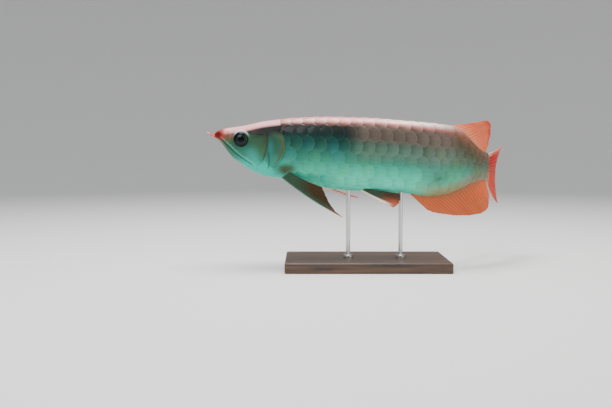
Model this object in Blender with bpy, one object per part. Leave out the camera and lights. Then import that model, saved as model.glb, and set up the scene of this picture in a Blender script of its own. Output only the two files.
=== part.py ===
"""An asian arowana as a still, life-size display model, held over a flat base by two rods."""

import math

import bmesh
import bpy
import numpy as np

MM = 0.001

# Where the snout is, how high the body's middle hangs, and the gap between neighbouring pieces.
# A cut takes a little more than the gap, because a facet that is pushed out lies nearer than a curve.
SNOUT_X = -178.2
FISH_HEIGHT = 132.8
BODY_LENGTH = 358.0
GAP = 0.3
CUT_ROOM = 1.15

# The tail swings round to the fish's right between these two lengths.
BEND_START = 212.5
BEND_END = 389.5
BEND_ANGLE = math.radians(68.0)

# Height of the back, height of the belly and half width, along the body in millimetres.
BACK = [
    (0, 24.6), (3.5, 28.0), (12, 30.7), (35, 34.2), (59, 39.4), (88, 42.5), (130, 44.3),
    (177, 43.1), (224, 39.6), (280, 34.6), (294, 29.2), (310, 17.6), (322, 9.8), (335, 4.8),
    (350, 2.4), (364, 1.6),
]
BELLY = [
    (0, 22.4), (3.5, 18.9), (10.6, 10.6), (21, -2.4), (30, -9.4), (42, -17.7), (59, -24.7),
    (78, -27.7), (112, -35.4), (147, -40.7), (189, -43.3), (226, -45.3), (254, -49.0),
    (270, -47.8), (294, -41.0), (318, -32.8), (335, -31.0), (350, -32.8), (364, -35.5),
]
HALF_WIDTH = [
    (0, 2.4), (3.5, 5.0), (12, 8.2), (24, 11.4), (35, 13.9), (53, 16.5), (71, 18.3), (118, 19.6),
    (153, 19.2), (189, 18.1), (224, 15.9), (254, 13.6), (280, 11.0), (301, 8.7), (319, 7.1),
    (336, 5.7), (348, 4.8), (364, 3.0),
]
WIDEST_LEVEL = 0.42
BACK_ROUNDNESS = [(0, 2.2), (60, 2.7), (240, 2.7), (364, 2.2)]
BELLY_ROUNDNESS = [(0, 2.2), (40, 2.0), (110, 1.8), (260, 1.7), (364, 2.0)]

# Where the head's rings of points are, and how many points each has.
HEAD_LENGTHS = [0.0, 0.8, 2.0, 3.5, 5.5, 8, 11, 14.5, 18.5, 23, 28, 33, 38, 44, 50, 57, 64, 71, 78, 85, 92]
HEAD_AROUND = 42

# Side outlines of the head's cuts, as length and height in millimetres.
HEAD_REAR = [
    (76, 60), (77.2, 27.8), (82, 20.8), (84.3, 8.2), (82, -1), (77.4, -7.9), (71.5, -14.9),
    (68.5, -21), (72.3, -29.2), (76, -60), (-20, -60), (-20, 60),
]
GAPE = [
    (-12, 23.2), (0, 22.6), (9.4, 17.5), (17.7, 9.9), (25.9, 2.3), (34.1, -4.0), (42.2, -9.2),
    (48, -15.1), (50.2, -24.5), (50.5, -60), (-12, -60),
]
GILL_COVER = [
    (110, 26), (72.8, 28.6), (65, 27.6), (62.4, 22), (62.4, 11.6), (61, 4), (58.6, -3.5),
    (61.4, -10), (66.5, -14.6), (72, -16.2), (110, -18),
]
GILL_RAISE = 0.5
GILL_SINK = 1.8

EYE_AT = (32.2, 10.4, 18.0)
EYE_RADIUS = 9.0
EYE_HALF_DEPTH = 5.0
RIM_RADIUS = 9.9

NOSTRILS = ((6.8, 25.4, 0.9), (16.8, 26.6, 1.1))
MAXILLA = [(11, 20.3), (15.4, 17.2), (21.3, 12), (28.4, 6.4), (34.2, 1.8), (39.6, -2.6), (43.6, -5.6)]
MAXILLA_RADII = (1.2, 1.7, 1.9, 2.1, 2.4, 2.6, 1.6)
LOWER_LIP = [(44, -13.4), (36, -8.2), (27, -1.4), (18.5, 6.3), (10.5, 13.8), (4.5, 18.6), (1.8, 20.4)]
LIP_RADIUS = 1.4

# Scales: rows right round the body, columns from under the gill covers back, and their relief.
SCALE_ROWS = 14
SCALE_COLUMNS = 23
COLUMN_AT = [(-1, 41.1), (0, 55), (6, 138.4), (12, 221.8), (16, 274), (20, 318.5), (24, 354)]
SCALE_STEP = 0.6

TAIL_CUT = 226.6

# Fins: number of rays, and the thickness of ray and membrane at root and tip.
FIN_STEPS = 6
DORSAL_RAYS = 18
ANAL_RAYS = 24
CAUDAL_RAYS = 15
PECTORAL_RAYS = 7
PELVIC_RAYS = 6
RAY_THICK = (1.4, 0.8)
WEB_THICK = (0.65, 0.5)

BASE_SIZE = (190.0, 110.0, 12.0)
BASE_BEVEL = 1.6
ROD_RADIUS = 2.5
ROD_TOP = 105.0
ROD_X = (-21.0, 41.0)
COLLAR_RADIUS = 6.0
COLLAR_HEIGHT = 3.0
COLLAR_BEVEL = 0.6

# Materials as red, green, blue, roughness and metallic.
MATERIALS = {
    "head_skin": (0.40, 0.48, 0.36, 0.35, 0.0),
    "jaw_skin": (0.38, 0.68, 0.60, 0.35, 0.0),
    "gill_plate": (0.42, 0.50, 0.30, 0.30, 0.0),
    "scales": (0.33, 0.55, 0.47, 0.30, 0.0),
    "fin_red": (0.78, 0.22, 0.12, 0.45, 0.0),
    "fin_grey": (0.36, 0.38, 0.32, 0.45, 0.0),
    "barbel_red": (0.75, 0.25, 0.15, 0.45, 0.0),
    "eye_black": (0.02, 0.02, 0.03, 0.08, 0.0),
    "stand_wood": (0.10, 0.055, 0.03, 0.45, 0.0),
    "stand_steel": (0.62, 0.62, 0.60, 0.28, 1.0),
}


# Curves and the body's own coordinates.
def smooth(table, at):
    """A smooth curve through a table of points, with no overshoot between them."""
    x, y = np.array(table, float).T
    step = np.diff(x)
    slope = np.diff(y) / step
    lean = np.concatenate([slope[:1], np.zeros(len(x) - 2), slope[-1:]])
    for k in range(1, len(x) - 1):
        if slope[k - 1] * slope[k] > 0:
            ratio = step[k - 1] / slope[k - 1] + step[k] / slope[k]
            lean[k] = (step[k - 1] + step[k]) / ratio
    at = np.clip(np.asarray(at, float), x[0], x[-1])
    k = np.clip(np.searchsorted(x, at, side="right") - 1, 0, len(x) - 2)
    u = (at - x[k]) / step[k]
    rise = y[k] * (1 + 2 * u) * (1 - u) ** 2 + y[k + 1] * u * u * (3 - 2 * u)
    return rise + step[k] * u * (1 - u) * (lean[k] * (1 - u) - lean[k + 1] * u)


SPINE_S = np.linspace(-20, 440, 4601)
bend = np.clip((SPINE_S - BEND_START) / (BEND_END - BEND_START), 0, 1)
SPINE_HEADING = BEND_ANGLE * bend * bend * (3 - 2 * bend)
SPINE_X = SNOUT_X - 20 + np.concatenate([[0], np.cumsum(np.cos(SPINE_HEADING[:-1]) * 0.1)])
SPINE_Y = np.concatenate([[0], np.cumsum(np.sin(SPINE_HEADING[:-1]) * 0.1)])


def place(s, side, height):
    """World points, in millimetres, from length along the body, side (right is +) and height."""
    x = np.interp(s, SPINE_S, SPINE_X)
    y = np.interp(s, SPINE_S, SPINE_Y)
    heading = np.interp(s, SPINE_S, SPINE_HEADING)
    world_x = x - np.sin(heading) * side
    world_y = y + np.cos(heading) * side
    world_z = FISH_HEIGHT + height + np.zeros_like(world_x)
    return np.stack([world_x, world_y, world_z], axis=-1)


def section_sizes(s, grow):
    back = smooth(BACK, s) + grow
    belly = smooth(BELLY, s) - grow
    return back, belly, smooth(HALF_WIDTH, s) + grow, back - WIDEST_LEVEL * (back - belly)


def half_section(s, fractions, grow=0.0):
    """Side and height of the flank at length s, at fractions of the way from back to belly."""
    back, belly, wide, middle = section_sizes(s, grow)
    angle = np.linspace(0, math.pi, 161)
    upper = angle < math.pi / 2
    power = 2 / np.where(upper, smooth(BACK_ROUNDNESS, s), smooth(BELLY_ROUNDNESS, s))
    side = wide * np.abs(np.sin(angle)) ** power
    reach = np.where(upper, back - middle, belly - middle)
    height = middle + reach * np.abs(np.cos(angle)) ** power
    side[0] = side[-1] = 0
    walk = np.hypot(np.diff(side), np.diff(height))
    walk = np.concatenate([[0], np.cumsum(walk)])
    walk /= walk[-1]
    return np.interp(fractions, walk, side), np.interp(fractions, walk, height)


def flank(s, height, grow=0.0):
    """Half width of the body at one length and height."""
    back, belly, wide, middle = section_sizes(s, grow)
    above = height > middle
    reach = back - middle if above else belly - middle
    power = smooth(BACK_ROUNDNESS if above else BELLY_ROUNDNESS, s)
    inside = 1 - min(abs((height - middle) / reach), 0.995) ** power
    return wide * inside ** (1 / power)


# Meshes and Boolean steps.
def mesh_object(name, points, faces):
    """A mesh object from points in millimetres, with its faces turned outwards."""
    mesh = bpy.data.meshes.new(name)
    mesh.from_pydata([tuple(p) for p in np.asarray(points, float) * MM], [], faces)
    shape = bmesh.new()
    shape.from_mesh(mesh)
    bmesh.ops.recalc_face_normals(shape, faces=shape.faces)
    if shape.calc_volume(signed=True) < 0:
        bmesh.ops.reverse_faces(shape, faces=shape.faces)
    shape.to_mesh(mesh)
    shape.free()
    obj = bpy.data.objects.new(name, mesh)
    bpy.context.scene.collection.objects.link(obj)
    return obj


def tube_faces(rings, around, loop=False):
    """Faces of a tube of rings of points, either capped at its ends or joined into a loop."""
    faces = []
    for r in range(rings if loop else rings - 1):
        for k in range(around):
            n = (k + 1) % around
            a = r * around
            b = (r + 1) % rings * around
            faces.append((a + k, a + n, b + n, b + k))
    if loop:
        return faces
    faces.append(tuple(range(around))[::-1])
    faces.append(tuple(range((rings - 1) * around, rings * around)))
    return faces


def body_solid(name, lengths, around, grow=0.0):
    """A closed length of the fish's body, from its sections."""
    half = around // 2
    fractions = np.linspace(0, 1, half + 1)
    points = []
    for s in lengths:
        side, height = half_section(s, fractions, grow)
        side = np.concatenate([side, -side[-2:0:-1]])
        height = np.concatenate([height, height[-2:0:-1]])
        points.append(place(s, side, height))
    return mesh_object(name, np.concatenate(points), tube_faces(len(lengths), around))


def tube(name, path, radii, around=8, flat=1.0, flat_along=(0, 1, 0), loop=False):
    """A closed round tube along a path, its section squashed along one direction by flat."""
    path = np.asarray(path, float)
    points = []
    tangents = np.gradient(path, axis=0)
    if loop:
        tangents = np.roll(path, -1, axis=0) - np.roll(path, 1, axis=0)
    for p, t, r in zip(path, tangents, radii):
        t = t / np.linalg.norm(t)
        u = np.asarray(flat_along, float)
        u = u - t * u.dot(t)
        u /= np.linalg.norm(u)
        v = np.cross(t, u)
        for k in range(around):
            a = 2 * math.pi * k / around
            points.append(p + r * (u * math.cos(a) * flat + v * math.sin(a)))
    return mesh_object(name, points, tube_faces(len(path), around, loop))


def on_flank(outline, hand, lift):
    """World points on one flank, from length and height, lifted off the skin sideways."""
    return np.array([place(s, hand * (flank(s, h) + lift), h) for s, h in outline])


def scaled_solid(name):
    """The body behind the head, every scale a shallow tile with a raised rear edge."""
    half = SCALE_ROWS / 2
    points = []
    index = {}

    def spot(key, u, v, lift):
        v = v % SCALE_ROWS
        hand = 1 if v <= half else -1
        fraction = v / half if v <= half else 2 - v / half
        s = float(smooth(COLUMN_AT, u))
        side, height = half_section(s, fraction, lift)
        index[key] = len(points)
        points.append(place(s, hand * side, height))

    for i in range(-1, SCALE_COLUMNS):
        for j in range(SCALE_ROWS):
            along_u = i + 0.5 * (j % 2) + 1
            on_fin = (j == 0 and along_u > 15) or (j == half and along_u > 11.5)
            lift = 0.0 if on_fin else SCALE_STEP
            for k, t in enumerate((-0.25, 0, 0.25)):
                spot(("foot", i, j, k), along_u - t * t + 0.03, j + t, 0.0)
                if i >= 0:
                    spot(("edge", i, j, k), along_u - t * t, j + t, max(lift, 0.02))
    faces = []
    for i in range(SCALE_COLUMNS):
        for j in range(SCALE_ROWS):
            beside = i - 1 if j % 2 == 0 else i
            low = index["foot", beside, (j - 1) % SCALE_ROWS, 2]
            high = index["foot", beside, (j + 1) % SCALE_ROWS, 0]
            e = [index["edge", i, j, k] for k in range(3)]
            f = [index["foot", i, j, k] for k in range(3)]
            b = [index["foot", i - 1, j, k] for k in range(3)]
            faces += [(low, e[0], b[0]), (e[0], e[1], b[0]), (b[0], e[1], b[1])]
            faces += [(b[1], e[1], b[2]), (e[1], e[2], b[2]), (e[2], high, b[2])]
            faces += [(low, f[0], e[0]), (e[0], f[0], f[1]), (e[0], f[1], e[1])]
            faces += [(e[1], f[1], f[2]), (e[1], f[2], e[2]), (e[2], f[2], high)]
    front = [index["foot", -1, j, k] for j in range(SCALE_ROWS) for k in range(3)]
    rear = [index["foot", SCALE_COLUMNS - 1, j, k] for j in range(SCALE_ROWS) for k in range(3)]
    ring = []
    for j in range(SCALE_ROWS):
        for k, t in enumerate((-0.25, 0, 0.25)):
            v = (j + t) % SCALE_ROWS
            side, height = half_section(BODY_LENGTH, min(v, SCALE_ROWS - v) / half)
            ring.append(len(points))
            points.append(place(BODY_LENGTH, side if v <= half else -side, height))
    points.append(place(float(smooth(COLUMN_AT, 0.2)), 0.0, 5.0))
    hub = len(points) - 1
    count = len(ring)
    for k in range(count):
        n = (k + 1) % count
        faces.append((front[n], front[k], hub))
        faces += [(rear[k], rear[n], ring[n]), (rear[k], ring[n], ring[k])]
    faces.append(tuple(ring))
    return mesh_object(name, points, faces)


def half_space(name, s, behind):
    """A large block that fills everything behind or ahead of one length of the spine."""
    x, y, _ = place(s, 0.0, 0.0)
    heading = np.interp(s, SPINE_S, SPINE_HEADING)
    ahead = np.array([math.cos(heading), math.sin(heading), 0]) * (400 if behind else -400)
    across = np.array([-math.sin(heading), math.cos(heading), 0]) * 250
    points = []
    for start in (0, 1):
        for wide, tall in ((-1, -1), (1, -1), (1, 1), (-1, 1)):
            points.append(np.array([x, y, FISH_HEIGHT + 200 * tall]) + ahead * start + across * wide)
    return mesh_object(name, points, tube_faces(2, 4))


def side_prism(name, outline, low=-60.0, high=60.0):
    """A prism through the straight front of the fish, from a side outline."""
    count = len(outline)
    points = [(SNOUT_X + s, low, FISH_HEIGHT + h) for s, h in outline]
    points += [(SNOUT_X + s, high, FISH_HEIGHT + h) for s, h in outline]
    faces = [tuple(range(count)), tuple(range(count, 2 * count))[::-1]]
    for k in range(count):
        n = (k + 1) % count
        faces.append((k, k + count, n + count, n))
    return mesh_object(name, points, faces)


def grown(outline, by):
    """A side outline moved outwards by a distance."""
    p = np.array(outline, float)
    ahead = np.roll(p, -1, axis=0) - p
    ahead /= np.linalg.norm(ahead, axis=1)[:, None]
    out = np.stack([ahead[:, 1], -ahead[:, 0]], axis=1)
    area = (p[:, 0] * np.roll(p[:, 1], -1) - np.roll(p[:, 0], -1) * p[:, 1]).sum()
    out *= by * np.sign(area)
    both = out + np.roll(out, 1, axis=0)
    scale = 2 * by * by / np.maximum((both**2).sum(axis=1), by * by)
    return p + both * scale[:, None]


def remove(*objects):
    for obj in objects:
        bpy.data.objects.remove(obj)


def copy_of(obj, name):
    twin = obj.copy()
    twin.data = obj.data.copy()
    twin.name = name
    bpy.context.scene.collection.objects.link(twin)
    return twin


def combine(target, operation, *others, keep=False):
    """Applies one Boolean per other object, and removes those objects."""
    for other in others:
        step = target.modifiers.new(operation.lower(), "BOOLEAN")
        step.operation = operation
        step.solver = "EXACT"
        step.object = other
        bpy.context.view_layer.objects.active = target
        bpy.ops.object.modifier_apply(modifier=step.name)
    if not keep:
        remove(*others)
    return target


def tidy(obj):
    """Welds tiny gaps, drops loose scraps and triangulates."""
    shape = bmesh.new()
    shape.from_mesh(obj.data)
    bmesh.ops.remove_doubles(shape, verts=shape.verts, dist=0.00001)
    bmesh.ops.dissolve_degenerate(shape, edges=shape.edges, dist=0.000005)
    bmesh.ops.triangulate(shape, faces=shape.faces)
    shape.verts.ensure_lookup_table()
    groups = []
    seen = set()
    for start in shape.verts:
        if start in seen:
            continue
        group = {start}
        queue = [start]
        while queue:
            for edge in queue.pop().link_edges:
                for vert in edge.verts:
                    if vert not in group:
                        group.add(vert)
                        queue.append(vert)
        seen |= group
        groups.append(group)
    groups.sort(key=len)
    for group in groups[:-1]:
        bmesh.ops.delete(shape, geom=list(group), context="VERTS")
    shape.to_mesh(obj.data)
    shape.free()
    return obj


def clearance(obj, name):
    """A copy of an object pushed outwards by a little over the gap, to cut its neighbour back."""
    twin = copy_of(obj, name)
    push = twin.modifiers.new("push", "DISPLACE")
    push.mid_level = 0.0
    push.strength = GAP * CUT_ROOM * MM
    bpy.context.view_layer.objects.active = twin
    bpy.ops.object.modifier_apply(modifier=push.name)
    return twin


def fin(name, rays, ray_thick=RAY_THICK, web_thick=WEB_THICK):
    """A fin from its rays' centre lines, with a web between them, as one thin closed sheet."""
    rays = np.asarray(rays, float)
    count, steps = rays.shape[:2]
    grid = np.zeros((2 * count - 1, steps, 3))
    grid[0::2] = rays
    grid[1::2] = (rays[:-1] + rays[1:]) / 2
    normal = np.cross(np.gradient(grid, axis=0), np.gradient(grid, axis=1))
    normal /= np.linalg.norm(normal, axis=2)[:, :, None]
    fade = np.linspace(0, 1, steps)
    thick = np.zeros((2 * count - 1, steps))
    thick[0::2] = ray_thick[0] + (ray_thick[1] - ray_thick[0]) * fade
    thick[1::2] = web_thick[0] + (web_thick[1] - web_thick[0]) * fade
    push = normal * thick[:, :, None] / 2
    points = np.concatenate([(grid + push).reshape(-1, 3), (grid - push).reshape(-1, 3)])
    columns = 2 * count - 1
    other = columns * steps
    faces = []
    for c in range(columns - 1):
        for r in range(steps - 1):
            a = c * steps + r
            b = a + steps
            for tri in ((a, b, b + 1), (a, b + 1, a + 1)):
                faces.append(tri)
                faces.append(tuple(other + v for v in reversed(tri)))
    rim = [c * steps for c in range(columns)]
    rim += [(columns - 1) * steps + r for r in range(1, steps)]
    rim += [c * steps + steps - 1 for c in range(columns - 2, -1, -1)]
    rim += [r for r in range(steps - 2, 0, -1)]
    for k, a in enumerate(rim):
        b = rim[(k + 1) % len(rim)]
        faces.append((a, a + other, b + other))
        faces.append((a, b + other, b))
    return mesh_object(name, points, faces)


def ray_lines(bases, tips, steps, sag=None):
    """Straight or gently curved lines from base points to tip points."""
    u = np.linspace(0, 1, steps)[None, :, None]
    lines = bases[:, None] * (1 - u) + tips[:, None] * u
    if sag is not None:
        lines = lines + 4 * u * (1 - u) * sag[:, None]
    return lines


def along(points, fractions):
    """Points at fractions of the length of a line of points."""
    points = np.asarray(points, float)
    walk = np.concatenate([[0], np.cumsum(np.linalg.norm(np.diff(points, axis=0), axis=1))])
    walk /= walk[-1]
    return np.stack([np.interp(fractions, walk, points[:, k]) for k in range(3)], axis=1)


for old in list(bpy.data.objects):
    bpy.data.objects.remove(old)

# The head as one block, and the surfaces that the gill covers and the jaw are cut from.
head = body_solid("head", HEAD_LENGTHS, HEAD_AROUND)
jaw = body_solid("lower_jaw", HEAD_LENGTHS, HEAD_AROUND)
gills = [body_solid("gill_cover_left", HEAD_LENGTHS, HEAD_AROUND, GILL_RAISE)]
gills.append(body_solid("gill_cover_right", HEAD_LENGTHS, HEAD_AROUND, GILL_RAISE))
combine(head, "INTERSECT", side_prism("cut", HEAD_REAR))
for cover, (low, high) in zip(gills, ((-60, -3), (3, 60))):
    combine(cover, "INTERSECT", side_prism("cut", HEAD_REAR))
    combine(cover, "INTERSECT", side_prism("cut", GILL_COVER, low, high))
    combine(cover, "DIFFERENCE", body_solid("core", HEAD_LENGTHS, HEAD_AROUND, GAP - GILL_SINK))
    low, high = (low, high + GAP) if low < -3 else (low - GAP, high)
    recess = side_prism("recess", grown(GILL_COVER, GAP), low, high)
    combine(recess, "DIFFERENCE", body_solid("core", HEAD_LENGTHS, HEAD_AROUND, -GILL_SINK))
    combine(head, "DIFFERENCE", recess)

# Upper jaw bones, lips, rims of the eyes and nostrils, joined to the head or the jaw.
for hand in (-1, 1):
    path = on_flank(MAXILLA, hand, -0.5)
    combine(head, "UNION", tube("maxilla", path, MAXILLA_RADII, 10, 0.7))
    s, side, height = EYE_AT
    around = np.linspace(0, 2 * math.pi, 24, endpoint=False)
    rim = [(s + RIM_RADIUS * math.cos(a), height + RIM_RADIUS * math.sin(a)) for a in around]
    combine(head, "UNION", tube("rim", on_flank(rim, hand, -0.35), [1.2] * 24, 6, loop=True))
    for (s, height, radius) in NOSTRILS:
        point = on_flank([(s, height)], hand, 0.0)[0]
        out = np.array([-0.15, hand * 0.8, 0.6])
        path = [point - out * 1.0, point + out * 0.5, point + out * 1.0]
        combine(head, "UNION", tube("nostril", path, (radius + 0.8, radius + 0.6, radius + 0.3), 12))
        path = [point - out * 0.8, point + out * 3]
        combine(head, "DIFFERENCE", tube("nostril_hole", path, (radius * 0.8, radius), 12))
    lip = np.concatenate([on_flank(LOWER_LIP, hand, -0.55), [place(1.2, -0.3 * hand, 21.0)]])
    combine(jaw, "UNION", tube("lip", lip, [LIP_RADIUS] * len(lip), 8, flat_along=(0, 0, 1)))
combine(jaw, "INTERSECT", side_prism("cut", GAPE))
combine(head, "DIFFERENCE", side_prism("mouth", grown(GAPE, GAP)))

# Eyes in their sockets.
eyes = []
for name, hand in (("eye_left", -1), ("eye_right", 1)):
    s, side, height = EYE_AT
    centre = place(s, hand * side, height)
    for label, grow in (("socket", GAP), (name, 0.0)):
        bpy.ops.mesh.primitive_uv_sphere_add(segments=24, ring_count=12, radius=MM)
        ball = bpy.context.object
        ball.name = label
        ball.rotation_euler = (math.pi / 2, 0, 0)
        ball.scale = (EYE_RADIUS + grow, EYE_RADIUS + grow, EYE_HALF_DEPTH + grow)
        ball.location = centre * MM
        bpy.ops.object.transform_apply(location=False, rotation=True, scale=True)
        if label == "socket":
            combine(head, "DIFFERENCE", ball)
        else:
            eyes.append(ball)

# Trunk and tail, cut apart straight across the spine.
trunk = scaled_solid("trunk")
tail = copy_of(trunk, "tail")
combine(trunk, "DIFFERENCE", side_prism("cut", grown(HEAD_REAR, GAP)))
combine(trunk, "DIFFERENCE", half_space("cut", TAIL_CUT - GAP / 2, True))
combine(tail, "DIFFERENCE", half_space("cut", TAIL_CUT + GAP / 2, False))

# Dorsal and anal fins, standing on the back and the belly of the tail.
u = np.linspace(0, 1, DORSAL_RAYS)
base_s = 280 + 66 * u
bases = place(base_s, 0, smooth(BACK, base_s) - 1.5)
edge_s = np.array([350, 359, 368, 373, 370.5, 364, 358, 352.5])
edge_h = np.array([41.8, 41.6, 38.4, 33.5, 27, 18, 11.5, 6.0])
tips = along(place(edge_s, 0, edge_h), u)
dorsal = fin("dorsal_fin", ray_lines(bases, tips, FIN_STEPS))

u = np.linspace(0, 1, ANAL_RAYS)
base_s = 228.5 + 120 * u
bases = place(base_s, 0, smooth(BELLY, base_s) + 1.5)
edge_s = np.array([251, 258, 266, 286, 310, 337, 352, 362, 368.5, 368, 362, 356])
edge_h = np.array([-65, -67.8, -69.5, -72.4, -73.5, -72.7, -70.5, -67, -61.5, -55, -47, -39.5])
tips = along(place(edge_s, 0, edge_h), u**0.9)
anal = fin("anal_fin", ray_lines(bases, tips, FIN_STEPS))

# Tail fin: each ray leaves the end of the body and curls a little further round.
ray_at = np.linspace(0, 1, CAUDAL_RAYS)
curl = [(0, 50), (0.16, 63), (0.3, 68), (0.48, 74), (0.65, 75), (0.86, 70), (1, 63)]
lift = [(0, 11), (0.16, 9), (0.3, 6), (0.48, -3), (0.65, -12), (0.86, -25), (1, -31)]
length = [(0, 59), (0.16, 61), (0.3, 62), (0.48, 63), (0.65, 63), (0.86, 62), (1, 61)]
rays = []
for k in ray_at:
    back, belly = smooth(BACK, BODY_LENGTH), smooth(BELLY, BODY_LENGTH)
    point = place(BODY_LENGTH + GAP, 0.0, back - 0.6 + (belly - back + 1.2) * k)
    start = math.degrees(np.interp(BODY_LENGTH, SPINE_S, SPINE_HEADING))
    reach, rise = smooth(length, k), smooth(lift, k)
    run = math.sqrt(reach**2 - rise**2)
    line = [point]
    for n in range(FIN_STEPS + 1):
        heading = math.radians(start + (smooth(curl, k) - start) * (n + 0.5) / (FIN_STEPS + 1))
        step = np.array([math.cos(heading) * run, math.sin(heading) * run, rise]) / (FIN_STEPS + 1)
        line.append(line[-1] + step)
    rays.append(line)
caudal = fin("caudal_fin", rays)

# Paired fins, from a root line on the flank to a swept edge.
pectoral_root = [(77.5, 4.0, -25.0), (86.5, 10.5, -19.0)]
left_edge = [(149.3, 40, -70.4), (141.5, 38, -64.3), (134.7, 35, -55.4), (130.2, 33, -46.4),
             (125.7, 30, -36.2)]
right_edge = [(172, 44, -53.0), (165, 38, -50.2), (155, 33, -46.9), (145, 28, -43.4),
              (132, 22, -38.8)]
pelvic_root = [(170.5, 2.5, -40.5), (180, 6.0, -39.0)]
pelvic_edge = [(209.2, 19, -60.6), (214.5, 19, -56.5), (216.8, 17, -51), (216.5, 13, -44.5)]
paired = []
for name, hand, count, root, edge, droop in (
    ("pectoral_fin_left", -1, PECTORAL_RAYS, pectoral_root, left_edge, 3.0),
    ("pectoral_fin_right", 1, PECTORAL_RAYS, pectoral_root, right_edge, 0.0),
    ("pelvic_fin_left", -1, PELVIC_RAYS, pelvic_root, pelvic_edge, 1.0),
    ("pelvic_fin_right", 1, PELVIC_RAYS, pelvic_root, pelvic_edge, 1.0),
):
    u = np.linspace(0, 1, count)
    root, edge = np.array(root).T, np.array(edge).T
    bases = along(place(root[0], hand * root[1], root[2]), u)
    tips = along(place(edge[0], hand * edge[1], edge[2]), u)
    sag = np.outer(1 - 0.6 * u, (0, 0, -droop))
    paired.append(fin(name, ray_lines(bases, tips, FIN_STEPS, sag)))

# Barbels on the chin.
barbels = []
for label, hand in (("left", -1), ("right", 1)):
    path = place(np.array([2.4, 0, -2.7, -5.6, -8.5]), hand * np.array([1.7, 2.1, 2.6, 3.2, 3.8]),
                 np.array([20.0, 21.6, 23.6, 25.2, 26.6]))
    barbels.append(tube(f"barbel_{label}", path, (1.1, 1.0, 0.85, 0.7, 0.45)))

# Display stand: a bevelled base and two rods up to the belly.
bpy.ops.mesh.primitive_cube_add(size=1, location=(0, 0, BASE_SIZE[2] / 2 * MM))
base = bpy.context.object
base.name = "stand_base"
base.scale = [v * MM for v in BASE_SIZE]
bpy.ops.object.transform_apply(location=False, rotation=False, scale=True)
edge_round = base.modifiers.new("bevel", "BEVEL")
edge_round.width = BASE_BEVEL * MM
edge_round.segments = 3
bpy.ops.object.modifier_apply(modifier=edge_round.name)
rods = []
for name, x in zip(("stand_rod_front", "stand_rod_rear"), ROD_X):
    low = BASE_SIZE[2] + GAP
    shoulder = low + COLLAR_HEIGHT
    heights = [low, shoulder - COLLAR_BEVEL, shoulder, shoulder, ROD_TOP]
    radii = [COLLAR_RADIUS, COLLAR_RADIUS, COLLAR_RADIUS - COLLAR_BEVEL, ROD_RADIUS, ROD_RADIUS]
    rods.append(tube(name, [(x, 0, h + 0.001 * k) for k, h in enumerate(heights)], radii, 32))

# Each piece is cut back from the one it grows from by the gap.
trunk_room = clearance(trunk, "trunk_room")
tail_room = clearance(tail, "tail_room")
jaw_room = clearance(jaw, "jaw_room")
for obj in paired + rods:
    combine(obj, "DIFFERENCE", trunk_room, keep=True)
for obj in (dorsal, anal):
    combine(obj, "DIFFERENCE", tail_room, keep=True)
for obj in barbels:
    combine(obj, "DIFFERENCE", jaw_room, keep=True)
remove(trunk_room, tail_room, jaw_room)

slots = {
    head: "head_skin", jaw: "jaw_skin", gills[0]: "gill_plate", gills[1]: "gill_plate",
    eyes[0]: "eye_black", eyes[1]: "eye_black", barbels[0]: "barbel_red",
    barbels[1]: "barbel_red", trunk: "scales", tail: "scales", dorsal: "fin_red",
    anal: "fin_red", caudal: "fin_red", paired[0]: "fin_grey", paired[1]: "fin_grey",
    paired[2]: "fin_grey", paired[3]: "fin_grey", base: "stand_wood", rods[0]: "stand_steel",
    rods[1]: "stand_steel",
}
for obj, slot in slots.items():
    material = bpy.data.materials.get(slot)
    if material is None:
        material = bpy.data.materials.new(slot)
        material.use_nodes = True
        red, green, blue, rough, metal = MATERIALS[slot]
        shader = material.node_tree.nodes["Principled BSDF"]
        shader.inputs["Base Color"].default_value = (red, green, blue, 1)
        shader.inputs["Roughness"].default_value = rough
        shader.inputs["Metallic"].default_value = metal
        material.diffuse_color = (red, green, blue, 1)
    obj.data.materials.clear()
    obj.data.materials.append(material)
    tidy(obj)
    bpy.ops.object.select_all(action="DESELECT")
    obj.select_set(True)
    bpy.context.view_layer.objects.active = obj
    bpy.ops.object.origin_set(type="ORIGIN_GEOMETRY", center="BOUNDS")
    for face in obj.data.polygons:
        face.use_smooth = True
    obj.data.set_sharp_from_angle(angle=math.radians(35))
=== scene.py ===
import math

import bmesh
import bpy
import numpy as np
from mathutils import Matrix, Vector


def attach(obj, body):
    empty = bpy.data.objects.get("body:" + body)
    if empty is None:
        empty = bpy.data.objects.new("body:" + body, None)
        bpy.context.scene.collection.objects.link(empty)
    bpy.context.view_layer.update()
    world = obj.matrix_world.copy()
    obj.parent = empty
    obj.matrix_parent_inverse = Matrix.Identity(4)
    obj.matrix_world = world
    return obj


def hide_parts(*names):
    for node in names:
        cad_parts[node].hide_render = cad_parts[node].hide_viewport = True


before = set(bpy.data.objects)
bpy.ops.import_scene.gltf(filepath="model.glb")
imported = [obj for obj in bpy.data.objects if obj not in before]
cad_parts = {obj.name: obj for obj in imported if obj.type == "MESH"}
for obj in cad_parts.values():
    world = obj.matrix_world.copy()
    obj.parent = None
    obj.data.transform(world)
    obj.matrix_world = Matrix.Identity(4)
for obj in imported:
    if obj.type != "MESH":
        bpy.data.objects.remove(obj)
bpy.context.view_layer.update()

# Skin: one soft hide over head, jaw, gill covers, trunk and tail, with no seam.
# On the head it is tight over bone, with the mouth, jaw bones, nostrils and gill covers in it.
# Behind the head it lies just under the scales that grow out of it.

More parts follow.
